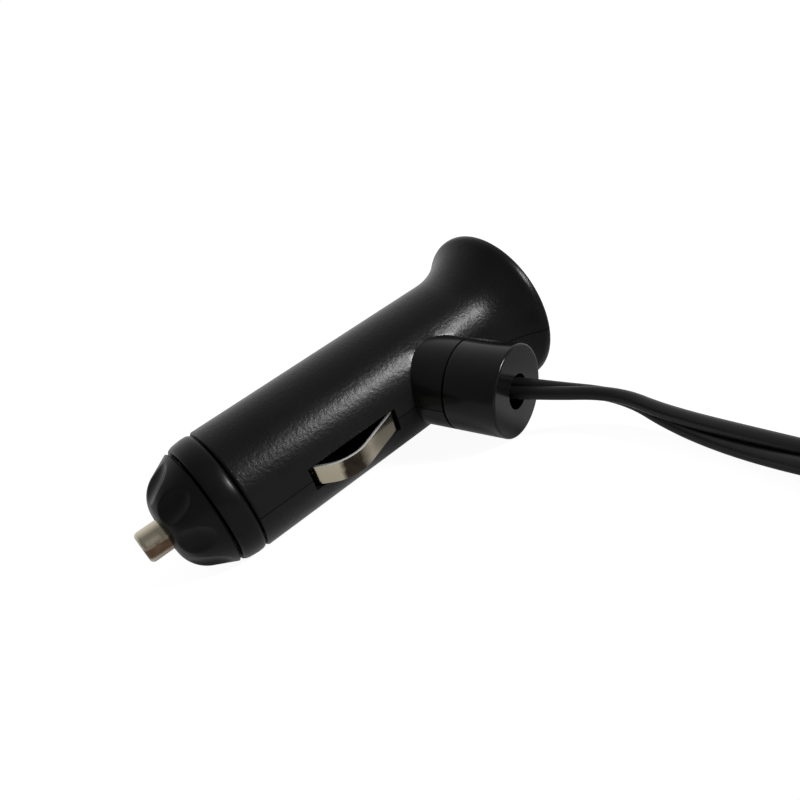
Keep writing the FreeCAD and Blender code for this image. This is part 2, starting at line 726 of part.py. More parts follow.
def make_socket():
    """Plain in-line socket on the far end of the lead, about its own x axis from its mouth."""
    shell = turned("socket_shell", [
        ("socket_sleeve_lip", "socket_liner_radius", "line"),
        ("disc_rear", "socket_liner_radius", "line"),
        ("disc_rear", "relief_head_radius + socket_clearance", "line"),
        ("relief_head_rear", "relief_head_radius + socket_clearance", "line"),
        ("relief_head_rear", "relief_radius + relief_clearance", "line"),
        ("socket_rear", "relief_radius + relief_clearance", "line"),
        ("socket_rear", "socket_nose_radius", "line"),
        ("socket_length", "socket_outer_radius", "line"),
        ("socket_sleeve_lip + socket_edge", "socket_outer_radius", "line"),
        ("socket_sleeve_lip", "socket_outer_radius - socket_edge", "bend"),
    ])
    sleeve = turned("socket_sleeve", [
        ("0", "socket_bore_radius", "line"),
        ("sleeve_rear", "socket_bore_radius", "line"),
        ("sleeve_rear", "socket_bore_radius + socket_sleeve_wall", "line"),
        ("socket_sleeve_lip - socket_clearance", "socket_bore_radius + socket_sleeve_wall", "line"),
        ("socket_sleeve_lip - socket_clearance", "socket_outer_radius - socket_edge", "line"),
        ("0", "socket_outer_radius - socket_edge", "line"),
    ])
    disc = turned("socket_disc", [
        ("disc_front", "contact_stem_radius + socket_clearance", "line"),
        ("disc_rear", "contact_stem_radius + socket_clearance", "line"),
        ("disc_rear", "socket_liner_radius - socket_clearance", "line"),
        ("disc_front", "socket_liner_radius - socket_clearance", "line"),
    ])
    contact = turned("socket_contact", [
        ("disc_front - contact_height", "0", "line"),
        ("disc_rear + contact_height", "0", "line"),
        ("disc_rear + contact_height", "contact_stem_radius", "line"),
        ("disc_front", "contact_stem_radius", "line"),
        ("disc_front", "contact_radius", "line"),
        ("disc_front - contact_height", "contact_radius - contact_height", "blend"),
    ])
    relief = turned("socket_relief", [
        ("relief_head_front", "cord_radius + relief_clearance", "line"),
        ("relief_end", "cord_radius + relief_clearance", "line"),
        ("relief_end", "relief_tip_radius", "line"),
        ("socket_rear", "relief_radius", "line"),
        ("relief_head_rear", "relief_radius", "line"),
        ("relief_head_rear", "relief_head_radius", "line"),
        ("relief_head_front", "relief_head_radius", "line"),
    ])
    return [shell, sleeve, disc, contact, relief]


def cord_tube(label, points):
    """Plain tube of the lead, each bend as large as its two runs allow."""
    radii = []
    for before, corner, after in zip(points, points[1:], points[2:]):
        shorter = min((corner - before).Length, (after - corner).Length)
        turn_angle = (corner - before).getAngle(after - corner)
        radii.append(BEND_SHARE * shorter / math.tan(turn_angle / 2))
    path = bent_path(points, radii)
    tube = feature(label, swept(round_section(path, size("cord_radius")), path))
    whole = math.pi * size("cord_radius") ** 2 * path.Length
    print(f"{label} radii {[round(r, 1) for r in radii]} length {path.Length:.1f}")
    print(f"{label} volume {tube.Shape.Volume:.1f} section times length {whole:.1f}")
    return tube


def make_tie():
    """Flat band closed round the coil's section, on the side away from the socket."""
    reach = "coil_outer_radius - coil_inner_radius + tie_clearance + tie_clearance"
    rise = "coil_height + tie_clearance + tie_clearance"
    band = doc.addObject("Part::Box", "tie_band")
    band.setExpression("Length", bound(f"{reach} + tie_thickness + tie_thickness"))
    band.setExpression("Width", f"2 * {bound('tie_half_width')}")
    band.setExpression("Height", bound(f"{rise} + tie_thickness + tie_thickness"))
    room = doc.addObject("Part::Box", "tie_room")
    room.setExpression("Length", bound(reach))
    room.setExpression("Width", f"2 * {bound('tie_half_width')}")
    room.setExpression("Height", bound(rise))
    room.setExpression("Placement.Base.x", bound("tie_thickness"))
    room.setExpression("Placement.Base.z", bound("tie_thickness"))
    tie = cut("cord_tie", band, room)
    left = COIL_CENTRE[0] - value_of("coil_outer_radius + tie_clearance + tie_thickness")
    tie.Placement = Placement(Vector(left, COIL_CENTRE[1] - size("tie_half_width"), 0), Rotation())
    return tie


def make_cord(lying):
    """Lead from inside the boss to the coil, the coil with its tie, and the tail to the socket."""
    start = lying.multVec(boss_point(size("cord_inner_end")))
    lead = cord_tube("cord_lead", [start] + [Vector(*point) for point in LEAD_ROUTE])
    coil = turned("cord_coil", [
        ("coil_edge", "coil_inner_radius", "line"),
        ("coil_height - coil_edge", "coil_inner_radius", "line"),
        ("coil_height", "coil_inner_radius + coil_edge", "bend"),
        ("coil_height", "coil_outer_radius - coil_edge", "line"),
        ("coil_height - coil_edge", "coil_outer_radius", "bend"),
        ("coil_edge", "coil_outer_radius", "line"),
        ("0", "coil_outer_radius - coil_edge", "bend"),
        ("0", "coil_inner_radius + coil_edge", "line"),
    ])
    upright = Rotation(Vector(0, 1, 0), -90)
    lift = value_of("tie_thickness + tie_clearance")
    coil.Placement = Placement(Vector(*COIL_CENTRE, lift), upright)
    tie = make_tie()
    inside = Vector(RELIEF_TIP[0], RELIEF_TIP[1] + size("cord_tail_inside"), size("socket_outer_radius"))
    tail = cord_tube("cord_tail", [Vector(*point) for point in TAIL_ROUTE] + [inside])
    return [lead, coil, tie, tail]


def place_socket(pieces):
    """The in-line socket lies beside the coil, its mouth towards the plug."""
    mouth = Vector(RELIEF_TIP[0], RELIEF_TIP[1] + size("relief_end"), size("socket_outer_radius"))
    for piece in pieces:
        piece.Placement = Placement(mouth, Rotation(Vector(0, 0, 1), -90))


def lying_rotation():
    """How the plug lies: on the collar's front edge, the roll of the rim and the bush's edge."""
    rim_x = value_of("rim_front + rim_roll")
    rim_ring = value_of("rim_radius - rim_roll_radius")
    collar_x = value_of("collar_front + collar_edge")
    collar_ring = value_of("collar_radius - collar_edge")
    run, rise = rim_x - collar_x, rim_ring - collar_ring
    edge_rise = value_of("rim_roll_radius - collar_edge")
    pitch = math.atan2(rise, run) + math.asin(edge_rise / math.hypot(run, rise))
    floor = rim_x * math.sin(pitch) - rim_ring * math.cos(pitch) - size("rim_roll_radius")
    centre = boss_point(value_of("bush_rear - bush_edge"))
    along = boss_frame().Rotation.multVec(Vector(1, 0, 0))
    low, high = 0.0, math.pi / 2
    for _ in range(60):
        roll = (low + high) / 2
        up = Vector(math.sin(pitch), math.cos(pitch) * math.sin(roll), math.cos(pitch) * math.cos(roll))
        drop = value_of("boss_radius - bush_edge") * math.sqrt(1 - along.dot(up) ** 2)
        if centre.dot(up) - drop - size("bush_edge") > floor:
            low = roll
        else:
            high = roll
    turn = Rotation(Vector(0, 1, 0), -math.degrees(pitch))
    return turn.multiply(Rotation(Vector(1, 0, 0), math.degrees(roll))), floor


def place_lying(pieces, turn, floor):
    """Lay the plug's pieces on the floor, centred over the origin."""
    lying = Placement(Vector(0, 0, -floor), turn)
    for piece in pieces:
        piece.Placement = lying.multiply(piece.Placement)
    doc.recompute()
    room = pieces[0].Shape.BoundBox
    for piece in pieces[1:]:
        room.add(piece.Shape.BoundBox)
    shift = Placement(Vector(-room.Center.x, -room.Center.y, 0), Rotation())
    for piece in pieces:
        piece.Placement = shift.multiply(piece.Placement)
    doc.recompute()
    return shift.multiply(lying)


def check_and_write(pieces):
    for made in doc.Objects:
        if "Invalid" in made.State or "Error" in made.State:
            raise RuntimeError(f"{made.Label} failed: {made.State}")
    os.makedirs("parts", exist_ok=True)
    for piece in pieces:
        shape = piece.Shape
        if shape.isNull() or not shape.isValid() or shape.Volume <= 0:
            raise RuntimeError(f"{piece.Label} has no valid shape")
        shape.exportStep(f"parts/{piece.Label}.step")
        print(f"{piece.Label:18s} solids {len(shape.Solids)} volume {shape.Volume:9.2f}")


fill_sheet()
cap = make_nose_cap()
cap.Placement = Placement(Vector(0, 0, 0), Rotation(Vector(1, 0, 0), 180 - size("dimple_phase")))
plug = [cap, make_front_collar(), make_centre_contact()]
plug += make_fuse()
plug += [make_contact_spring(), make_rear_terminal()]
plug += make_housing()
plug += [make_cord_bush()]
plug += [make_side_contact("side_contact_near", -1), make_side_contact("side_contact_far", 1)]
plug += make_inner_leads()
doc.recompute()
turn, floor = lying_rotation()
lying = place_lying(plug, turn, floor)
print("lying", lying)
exit_point = lying.multVec(boss_point(size("bush_rear")))
print("exit", exit_point, lying.Rotation.multVec(boss_frame().Rotation.multVec(Vector(1, 0, 0))))
socket = make_socket()
place_socket(socket)
cord = make_cord(lying)
doc.recompute()
check_and_write(plug + cord + socket)
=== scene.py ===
import math

import bpy
from bpy.props import FloatProperty, FloatVectorProperty, IntProperty, PointerProperty
from mathutils import Matrix, Vector


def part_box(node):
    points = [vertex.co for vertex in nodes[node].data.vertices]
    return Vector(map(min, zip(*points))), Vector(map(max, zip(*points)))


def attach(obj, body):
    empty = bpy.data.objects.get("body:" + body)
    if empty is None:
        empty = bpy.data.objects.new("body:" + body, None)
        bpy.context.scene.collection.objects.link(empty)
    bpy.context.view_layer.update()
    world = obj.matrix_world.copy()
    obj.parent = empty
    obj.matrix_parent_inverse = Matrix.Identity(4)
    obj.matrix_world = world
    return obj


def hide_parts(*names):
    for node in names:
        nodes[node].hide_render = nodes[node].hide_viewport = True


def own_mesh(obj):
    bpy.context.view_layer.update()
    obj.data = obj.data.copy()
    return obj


bl_info = {
    "name": "Lighter plug with lead",
    "version": (1, 0, 0),
    "blender": (4, 5, 0),
    "location": "3D View > Sidebar > Lighter plug",
    "description": "Dresses the lying lighter plug, its twin lead and its in-line socket",
    "category": "Object",
}

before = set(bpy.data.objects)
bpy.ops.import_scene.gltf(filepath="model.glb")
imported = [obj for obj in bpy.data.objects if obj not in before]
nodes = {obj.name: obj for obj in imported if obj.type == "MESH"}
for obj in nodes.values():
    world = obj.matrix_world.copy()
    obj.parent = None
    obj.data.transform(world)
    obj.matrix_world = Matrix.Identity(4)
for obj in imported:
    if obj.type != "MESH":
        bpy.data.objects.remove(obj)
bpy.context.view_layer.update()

# How the plug lies: its own x axis runs back from the tip of the centre contact
LYING = (Matrix.Translation((-0.0366853, 0.0045152, 0.00939244))
         @ Matrix.Rotation(math.radians(-4.13215), 4, "Y")
         @ Matrix.Rotation(math.radians(16.3121), 4, "X"))
PLUG_AXIS = LYING.col[0].xyz
PARTING_NORMAL = LYING.col[2].xyz

# The cord boss starts from this point on the barrel's axis and points this way
BOSS_SLANT = math.radians(73.3)
BOSS_ROOT = LYING @ Vector((0.04919, 0.0, 0.0))
BOSS_HEADING = LYING.to_3x3() @ Vector((math.cos(BOSS_SLANT), -math.sin(BOSS_SLANT), 0.0))

# The lead's route, as in the part's source: bush to coil, then coil to socket
LEAD_ROUTE = [
    (0.01712, -0.00973, 0.00910), (0.02145, -0.0207, 0.00665), (0.0264, -0.0300, 0.0043),
    (0.02425, -0.04015, 0.00205), (0.0207, -0.0560, 0.00205), (0.0190, -0.0730, 0.00205),
    (0.0176, -0.0885, 0.0023), (0.01695, -0.1035, 0.0029),
]
TAIL_ROUTE = [
    (0.01694, -0.1066, 0.00695), (0.0164, -0.1182, 0.0054), (0.0224, -0.1282, 0.0034),
    (0.0328, -0.1340, 0.0022), (0.0447, -0.1340, 0.00205), (0.0551, -0.1280, 0.0040),
    (0.0611, -0.1176, 0.0086), (0.0611, -0.1058, 0.0135), (0.0611, -0.0950, 0.0135),
]

# The coil: its middle, its turns, the height of its lower turns and what the upper ones add
COIL_CENTRE = (-0.006, -0.105)
COIL_TURNS = 3
COIL_HEIGHT = 0.00295
COIL_RISE = 0.0037
COIL_LIFT = 0.0003

# The turn at which the lead starts to step inwards, upwards and outwards, and how long a step takes
INWARDS_FROM = 0.7
UPWARDS_FROM = 1.7
OUTWARDS_FROM = 2.65
STEP_TURNS = 0.35

# Steps of the lead's smooth line from one route point to the next, and round a conductor
LINE_STEPS = 10
CONDUCTOR_STEPS = 5

# The nose cap's dimples: the middle of one as (station, radius), its slope in the half section
# and the place of the first one round the cap
DIMPLE_CENTRE = Vector((0.0062, 0.00762))
DIMPLE_SLOPE = math.radians(43.0)
DIMPLE_START = math.radians(170.0)
SLOPE_STEPS = 20
DOME_STEPS = 38

# A point lies beyond an edge from this many times the edge's size
BEYOND = 1.001

# The collar's rings, each a station and a radius
COLLAR_RINGS = [
    (0.01055, 0.0096), (0.01068, 0.00982), (0.0109, 0.00997), (0.0114, 0.01015),
    (0.01226, 0.01028), (0.0130, 0.01035), (0.0137, 0.01034), (0.0140, 0.01028),
    (0.0142, 0.01018), (0.01432, 0.01003), (0.01435, 0.0099), (0.01435, 0.00865),
    (0.01055, 0.00865),
]
COLLAR_SEGMENTS = 160

# The side leaf's corners, each a station and a distance from the axis
LEAF_CORNERS = [
    (0.02181, 0.00793), (0.02521, 0.00793), (0.02521, 0.00975), (0.02961, 0.01394),
    (0.04027, 0.00995), (0.04027, 0.00793), (0.04367, 0.00793),
]

# Points closer than this are one, and faces that meet at more than these angles have a crease
MERGE_DISTANCE = 0.000002
TURNED_CREASE = math.radians(35)
FOLDED_CREASE = math.radians(40)
SHARP_EDGE = math.radians(50)

# How squarely a face looks one way on the strap's open side, its flat top and a leaf's sheared side
OPEN_SIDE = 0.9
FLAT_TOP = 0.999
SHEARED_SIDE = 0.6

# How near to a leaf's fold the ends of its edge lie
ON_FOLD = 0.00001

# Steps of a rounded edge, a leaf's bend and a strap's corner
EDGE_STEPS = 2
BEND_STEPS = 10
CORNER_STEPS = 8

# The camera: its place, its lens and its axes to the right, upwards and backwards
CAMERA_PLACE = (-0.0403444, -0.0979232, 0.0451678)
CAMERA_LENS = 31.114
CAMERA_AXES = (
    (0.77201317, -0.51859249, -0.36750169),
    (0.47146451, 0.07944654, 0.87829919),
    (-0.42628263, -0.85132254, 0.30583173),
)

# The window lamp, in metres and watts, and the side of the room from which the plug is seen
WINDOW_PLACE = (0.262, -0.474, 0.284)
WINDOW_AIM = (0.0, 0.0, 0.015)
WINDOW_SIZE = (0.16, 0.09)
WINDOW_POWER = 5.2
VIEWING_SIDE = (-0.38, -0.92, 0.1)
FLOOR_SIZE = 12.0

MILLIMETRES = 1000.0


def measure(name, description, default):
    return FloatProperty(name=name, description=description, default=default, unit="LENGTH")


def tone(name, description, default):
    return FloatVectorProperty(name=name, description=description, default=default,
                               subtype="COLOR", size=3)


class NoseCapSizes(bpy.types.PropertyGroup):
    """Sizes of the dimpled nose cap, from the tip of the centre contact."""
    front: measure("Front face", "Station of the cap's front face", 0.0037)
    face_radius: measure("Face radius", "Radius of the flat front face", 0.0035)
    shoulder: measure("Shoulder", "Station where the dome meets the cone", 0.00665)
    shoulder_radius: measure("Shoulder radius", "Radius where the dome meets the cone", 0.00795)
    rear: measure("Rear", "Station of the cap's rear edge", 0.01025)
    radius: measure("Radius", "Largest radius of the cap", 0.0097)
    edge: measure("Rear edge", "Chamfer of the rear edge", 0.00025)
    wall: measure("Front wall", "Thickness of the front wall", 0.0014)
    hole_radius: measure("Hole", "Radius of the hole for the contact", 0.00263)
    hole_edge: measure("Hole edge", "Chamfer of the hole for the contact", 0.0003)
    bore_radius: measure("Bore", "Radius of the bore behind the front wall", 0.00456)
    thread_radius: measure("Thread", "Radius of the bore over the spigot", 0.00703)
    thread_depth: measure("Thread depth", "Depth of the bore over the spigot", 0.0033)
    segments: IntProperty(name="Segments", description="Steps round the cap", default=256)
    dimples: IntProperty(name="Dimples", description="Finger dimples round the slope", default=8)
    dimple_length: measure("Dimple length", "Half the length of a dimple", 0.0031)
    dimple_width: measure("Dimple width", "Half the width of a dimple", 0.0022)
    dimple_depth: measure("Dimple depth", "Depth of a dimple's middle", 0.0008)
    dimple_rim: FloatProperty(
        name="Dimple rim", description="Softness of a dimple's rim, as a share of its depth",
        default=0.15, subtype="FACTOR")


class SideContactSizes(bpy.types.PropertyGroup):
    """Sizes of the sprung side contacts."""
    width: measure("Width", "Width of the leaf", 0.0034)
    thickness: measure("Thickness", "Thickness of the leaf", 0.0005)
    apex_bend: measure("Apex bend", "Radius of the leaf's outer bend", 0.0058)
    foot_bend: measure("Foot bend", "Radius of the bends at the feet", 0.0006)
    edge: measure("Edge", "Rounding of the leaf's edges", 0.00006)


class LeadSizes(bpy.types.PropertyGroup):
    """Sizes of the twin lead and of its put-away coil."""
    conductor_radius: measure("Conductor", "Radius of one insulated conductor", 0.00104)
    spread: measure("Spread", "From the lead's middle to a conductor's middle", 0.00098)
    twist: measure("Twist", "Length of one turn of the conductors, left-handed if below zero", -0.1)
    phase: FloatProperty(name="Phase", description="Turn of the conductors at the bush",
                         default=2.356, subtype="ANGLE")
    coil_outer: measure("Coil outside", "Radius of the coil's outer turn", 0.023)
    coil_inner: measure("Coil inside", "Radius of the coil's inner turn", 0.019)
    coil_points: IntProperty(name="Coil points", description="Route points in each turn",
                             default=16)


class StrapSizes(bpy.types.PropertyGroup):
    """Sizes of the strap round the put-away coil."""
    thickness: measure("Thickness", "Thickness of the strap", 0.0007)
    lap: measure("Lap", "Height of the lapped end over the strap", 0.0005)
    step: measure("Step", "From the strap's edge to the lapped end", 0.00015)
    corner: measure("Corner", "Rounding of the strap's corners", 0.0024)
    edge: measure("Edge", "Rounding of the strap's edges", 0.00012)


class Finishes(bpy.types.PropertyGroup):
    """Colours of the plug's finishes."""
    satin_black: tone("Satin black", "Moulded housing and socket", (0.0036, 0.0037, 0.0036))
    smooth_black: tone("Smooth black", "Nose cap, collar and bush", (0.0030, 0.0031, 0.0030))
    nickel: tone("Nickel", "Plated contacts", (0.47, 0.425, 0.325))
    # Near-white metal of the leaves' cut sides: bare sheared metal, made brighter as a painted
    # highlight
    sheared_edge_and_highlight: tone("Sheared edge and highlight", "Bright edges of the leaves", (0.96, 0.95, 0.91))
    # Dark and brown of the reflection painted in a band over the side leaves' bend
    painted_reflection_dark: tone("Painted reflection, dark", "Darkest painted reflection on the leaves", (0.008, 0.007, 0.006))
    painted_reflection_brown: tone("Painted reflection, brown", "Lightest painted reflection on the leaves", (0.06, 0.045, 0.033))
    # Dark and brown of the reflection painted in a band across the centre contact
    low_reflection_dark: tone("Pin reflection, dark", "Darkest painted reflection on the pin", (0.07, 0.04, 0.024))
    low_reflection_brown: tone("Pin reflection, brown", "Lightest painted reflection on the pin", (0.16, 0.105, 0.07))
    brass: tone("Brass", "Terminal and fuse caps", (0.72, 0.52, 0.24))
    spring_steel: tone("Spring steel", "Spring behind the fuse", (0.52, 0.52, 0.53))
    tinned_wire: tone("Tinned wire", "Wire in the fuse", (0.62, 0.62, 0.6))
    sheath: tone("Sheath", "Insulation of the lead", (0.005, 0.005, 0.0052))
    red_insulation: tone("Red insulation", "Live lead inside", (0.42, 0.03, 0.025))
    brown_board: tone("Brown board", "Disc in the socket", (0.22, 0.11, 0.05))
    strap_dark: tone("Strap, dark", "Fresh fabric of the strap", (0.006, 0.006, 0.0065))
    strap_light: tone("Strap, light", "Worn fabric of the strap", (0.016, 0.016, 0.017))
    glass_dark: tone("Glass, dark", "Hazy glass of the fuse", (0.9, 0.95, 0.94))
    glass_light: tone("Glass, light", "Clear glass of the fuse", (0.97, 0.99, 0.98))
    floor_dark: tone("Floor, dark", "Darker clouds of the floor", (0.59, 0.59, 0.59))
    floor_light: tone("Floor, light", "Lighter clouds of the floor", (0.61, 0.61, 0.61))


class Value:
    """A socket of a finish's nodes, with Python's operators for its maths."""

    def __init__(self, finish, socket):
        self.finish = finish
        self.socket = socket

    def __add__(self, other):
        return self.finish.maths("ADD", self, other)

    __radd__ = __add__

    def __sub__(self, other):
        return self.finish.maths("SUBTRACT", self, other)

    def __rsub__(self, other):
        return self.finish.maths("SUBTRACT", other, self)

    def __mul__(self, other):
        return self.finish.maths("MULTIPLY", self, other)

    __rmul__ = __mul__


class Finish:
    """The nodes of a material, or of the world."""

    def __init__(self, name, kind="materials"):
        self.made = getattr(bpy.data, kind).new(name)
        self.made.use_nodes = True
        self.tree = self.made.node_tree
        self.tree.nodes.clear()

    @property
    def place(self):
        return self.node("ShaderNodeTexCoord", output="Object")

    def node(self, kind, settings=None, sockets=None, output=0):
        made = self.tree.nodes.new(kind)
        for name, value in (settings or {}).items():
            if name == "stops":
                self.set_stops(made.color_ramp, value)
            else:
                setattr(made, name, value)
        for name, value in (sockets or {}).items():
            self.feed(made.inputs[name], value)
        return Value(self, made.outputs[output]) if made.outputs else None

    def set_stops(self, ramp, stops):
        while len(ramp.elements) < len(stops):
            ramp.elements.new(1.0)
        for element, (position, grey) in zip(ramp.elements, stops):
            element.position = position
            element.color = (grey, grey, grey, 1.0)

    def feed(self, socket, value):
        if isinstance(value, Value):
            self.tree.links.new(value.socket, socket)
        else:
            socket.default_value = value

    def maths(self, operation, first, second):
        return self.node("ShaderNodeMath", {"operation": operation}, {0: first, 1: second})

    def vectors(self, operation, *vectors, output="Vector"):
        return self.node("ShaderNodeVectorMath", {"operation": operation},
                         dict(enumerate(vectors)), output=output)

    def noise(self, scale, detail=2.0, roughness=0.5, place=None):
        return self.node("ShaderNodeTexNoise", {"noise_dimensions": "3D"},
                         {"Vector": place or self.place, "Scale": scale, "Detail": detail,
                          "Roughness": roughness}, output="Fac")

    def drawn_lines(self, along, across, detail):
        """Fine lines along the plug, so many to a metre along it and across it."""
        place = self.node("ShaderNodeMapping", {},
                          {"Vector": self.place, "Scale": (along, across, across)})
        return self.noise(scale=1.0, detail=detail, place=place)

    def along(self, heading):
        """How far a point lies along a heading."""
        return self.vectors("DOT_PRODUCT", self.place, tuple(heading), output="Value")

    def from_line(self, start, heading):
        """How far a point lies from the line through start along a heading."""
        offset = self.vectors("SUBTRACT", self.place, tuple(start))
        across = self.vectors("CROSS_PRODUCT", offset, tuple(heading))
        return self.vectors("LENGTH", across, output="Value")

    def station(self):
        """Millimetres back from the tip of the centre contact, along the lying plug."""
        tip = PLUG_AXIS.dot(LYING.translation)
        return MILLIMETRES * self.along(PLUG_AXIS) - MILLIMETRES * tip

    def ramp(self, value, *stops):
        return self.node("ShaderNodeValToRGB", {"stops": stops}, {"Fac": value})

    def shade(self, factor, first, second):
        """Colour from a plain one to a second, plain or made by nodes, by a factor."""
        if not isinstance(second, Value):
            second = (*second, 1.0)
        return self.node("ShaderNodeMix", {"data_type": "RGBA"},
                         {0: factor, 6: (*first, 1.0), 7: second}, output=2)

    def bump(self, height, strength, distance):
        return self.node("ShaderNodeBump", {},
                         {"Strength": strength, "Distance": distance, "Height": height})

    def surface(self, sockets):
        shader = self.node("ShaderNodeBsdfPrincipled", {}, sockets)
        self.node("ShaderNodeOutputMaterial", {}, {"Surface": shader})
        return self.made


def tinted(plain, factor):
    return tuple(min(1.0, channel * factor) for channel in plain)


def satin_black(colours):
    """Moulded black plastic with a fine grain in its highlights, smoother on the boss."""
    finish = Finish("satin_black_plastic")
    plain = colours.satin_black
    grain = finish.noise(scale=1700.0, detail=4.0, roughness=0.6)
    flow = finish.noise(scale=160.0, detail=2.0)
    scuff = finish.ramp(finish.noise(scale=900.0, detail=4.0, roughness=0.7),
                        (0.58, 0.0), (0.75, 1.0))
    # Millimetres past the boss's side, and steps of 5 mm past its root
    past_side = MILLIMETRES * finish.from_line(BOSS_ROOT, BOSS_HEADING) - 7.45
    past_root = 200.0 * finish.along(BOSS_HEADING) - 200.0 * BOSS_HEADING.dot(BOSS_ROOT)
    boss = finish.ramp(past_side, (0.0, 1.0), (0.5, 0.0))
    boss = boss * finish.ramp(past_root, (0.0, 0.0), (0.3, 1.0))
    return finish.surface({
        "Base Color": finish.shade(flow, tinted(plain, 0.8), tinted(plain, 1.35)),
        "Roughness": 0.25 + 0.04 * flow + 0.06 * grain + 0.03 * scuff - 0.09 * boss,
        "Specular IOR Level": 0.12,
        "Normal": finish.bump(grain, strength=0.58 - 0.53 * boss, distance=0.00009),
    })


def smooth_black(colours):
    """Polished black plastic with a trace of handling."""
    finish = Finish("smooth_black_plastic")
    plain = colours.smooth_black
    rub = finish.ramp(finish.noise(scale=420.0, detail=5.0, roughness=0.65),
                      (0.5, 0.0), (0.8, 1.0))
    flow = finish.noise(scale=220.0)
    grain = finish.noise(scale=7000.0)
    return finish.surface({
        "Base Color": finish.shade(flow, tinted(plain, 0.8), tinted(plain, 1.3)),
        "Roughness": 0.26 + 0.08 * rub + 0.05 * flow,
        "Specular IOR Level": 0.1,
        "Normal": finish.bump(grain, strength=0.05, distance=0.00002),
    })


def gloss_black(colours):
    """Glossy black moulding of the cord bush."""
    finish = Finish("gloss_black_plastic")
    plain = colours.smooth_black
    flow = finish.noise(scale=260.0, detail=3.0)
    rub = finish.ramp(finish.noise(scale=700.0, detail=4.0), (0.55, 0.0), (0.8, 1.0))
    return finish.surface({
        "Base Color": finish.shade(flow, tinted(plain, 0.9), tinted(plain, 1.2)),
        "Roughness": 0.15 + 0.06 * rub + 0.04 * flow,
        "Specular IOR Level": 0.18,
        "Normal": finish.bump(flow, strength=0.06, distance=0.00004),
    })


def plating(finish, base, roughness):
    """Drawn and plated metal under a base colour."""
    lines = finish.drawn_lines(along=300.0, across=9000.0, detail=3.0)
    return finish.surface({
        "Base Color": base,
        "Metallic": 1.0,
        "Roughness": roughness + 0.1 * lines,
        "Normal": finish.bump(lines, strength=0.06, distance=0.00002),
    })


def nickel(colours):
    """Aged plating with a warm tarnish."""
    finish = Finish("nickel_plate")
    tarnish = finish.ramp(finish.noise(scale=520.0, detail=4.0), (0.45, 0.0), (0.8, 1.0))
    base = finish.shade(tarnish, colours.nickel, tinted(colours.nickel, 0.75))
    return plating(finish, base, roughness=0.14 + 0.06 * tarnish)


def nickel_with_painted_reflection(colours):
    """The side contacts' plating, with a dark painted reflection in a band over the bend."""
    finish = Finish("nickel_plate_with_painted_reflection")
    # The painted reflection's ragged station, from 0 at 20 mm to 1 at 40 mm
    ragged = finish.station() + 0.9 * finish.noise(scale=900.0, detail=3.0)
    # A band of painted dark reflection over the bend, about 28 to 34 mm back
    wear_and_painted_reflection = finish.ramp(0.05 * ragged - 1.0, (0.42, 0.0), (0.46, 1.0), (0.6, 1.0), (0.72, 0.0))
    brown = finish.noise(scale=700.0, detail=2.0)
    dark = finish.shade(brown, colours.painted_reflection_dark, colours.painted_reflection_brown)
    return plating(finish, finish.shade(wear_and_painted_reflection, colours.nickel, dark), roughness=0.16)


def nickel_with_painted_low_reflection(colours):
    """The centre contact's plating, with a brown painted reflection in a band at a set height over
    the floor.
    """
    finish = Finish("nickel_plate_with_painted_low_reflection")
    height = finish.node("ShaderNodeSeparateXYZ", {}, {"Vector": finish.place}, output="Z")
    # The painted reflection's ragged height, from 0 at 7.4 mm over the floor to 1 at 12.4 mm
    ragged = 200.0 * height - 1.48 + 0.12 * finish.noise(scale=700.0, detail=3.0)
    # A band of painted brown reflection, about 8 to 10.5 mm over the floor
    stain_and_painted_reflection = finish.ramp(ragged, (0.14, 0.0), (0.24, 1.0), (0.5, 1.0), (0.62, 0.0))
    brown = finish.shade(finish.noise(scale=1100.0), colours.low_reflection_dark, colours.low_reflection_brown)
    base = finish.shade(stain_and_painted_reflection, colours.nickel, brown)
    return plating(finish, base, roughness=0.16 + 0.06 * stain_and_painted_reflection)


def bare_metal(name, plain, roughness):
    """Plain worked metal of the inner pieces."""
    finish = Finish(name)
    lines = finish.drawn_lines(along=500.0, across=6000.0, detail=2.0)
    stain_and_painted_reflection = finish.noise(scale=380.0, detail=3.0)
    return finish.surface({
        "Base Color": finish.shade(stain_and_painted_reflection, tinted(plain, 0.8), tinted(plain, 1.1)),
        "Metallic": 1.0,
        "Roughness": roughness + 0.1 * lines + 0.06 * stain_and_painted_reflection,
    })


def soft_sheath(name, plain, roughness):
    """Extruded soft plastic, slightly dulled by handling."""
    finish = Finish(name)
    flow = finish.noise(scale=300.0, detail=3.0)
    grain = finish.noise(scale=4200.0, detail=2.0)
    return finish.surface({
        "Base Color": finish.shade(flow, tinted(plain, 0.8), tinted(plain, 1.35)),
        "Roughness": roughness + 0.1 * flow + 0.05 * grain,
        "Specular IOR Level": 0.2,
        "Normal": finish.bump(grain, strength=0.08, distance=0.00003),
    })


def woven_strap(colours):
    """Dull black loop fabric of the strap round the coil."""
    finish = Finish("strap_fabric")
    loops = finish.noise(scale=5200.0, detail=3.0, roughness=0.7)
    wear_and_painted_reflection = finish.noise(scale=420.0, detail=3.0)
    return finish.surface({
        "Base Color": finish.shade(wear_and_painted_reflection, colours.strap_dark, colours.strap_light),
        "Roughness": 0.75 + 0.2 * loops,
        "Specular IOR Level": 0.2,
        "Normal": finish.bump(loops, strength=0.9, distance=0.00015),
    })


def clear_glass(colours):
    """Thin glass of the fuse's tube."""
    finish = Finish("fuse_tube_glass")
    haze = finish.noise(scale=600.0, detail=3.0)
    return finish.surface({
        "Base Color": finish.shade(haze, colours.glass_dark, colours.glass_light),
        "Roughness": 0.03 + 0.05 * haze,
        "Transmission Weight": 0.95,
        "IOR": 1.5,
    })


